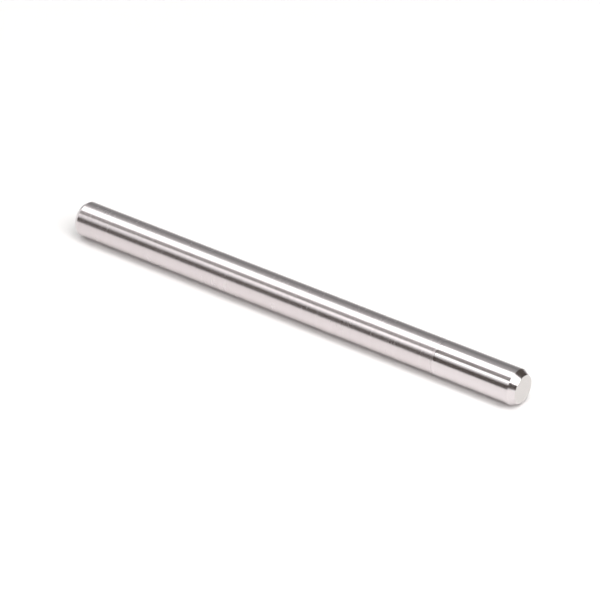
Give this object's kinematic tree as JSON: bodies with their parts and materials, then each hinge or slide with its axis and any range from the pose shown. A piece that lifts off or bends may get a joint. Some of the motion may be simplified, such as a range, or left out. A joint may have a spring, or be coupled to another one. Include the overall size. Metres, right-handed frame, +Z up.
{
  "type": "pulley pin",
  "caption": "Straight ground steel pin with a long journal for a pulley, a slightly thicker press seat and a chamfered lead at each end.",
  "frame": {"origin": "on the pin's axis, at the small step in diameter where the press seat begins", "axes": "+X along the pin's axis, out through the press seat's end; +Z up, with the pin lying level"},
  "size_m": [0.115, 0.008, 0.008],
  "materials": {
    "ground_steel": "turned, ground and lightly polished bare steel, with fine lines around the pin"
  },
  "bodies": {
    "root": {"pulley_pin": "ground_steel"}
  },
  "joints": []
}
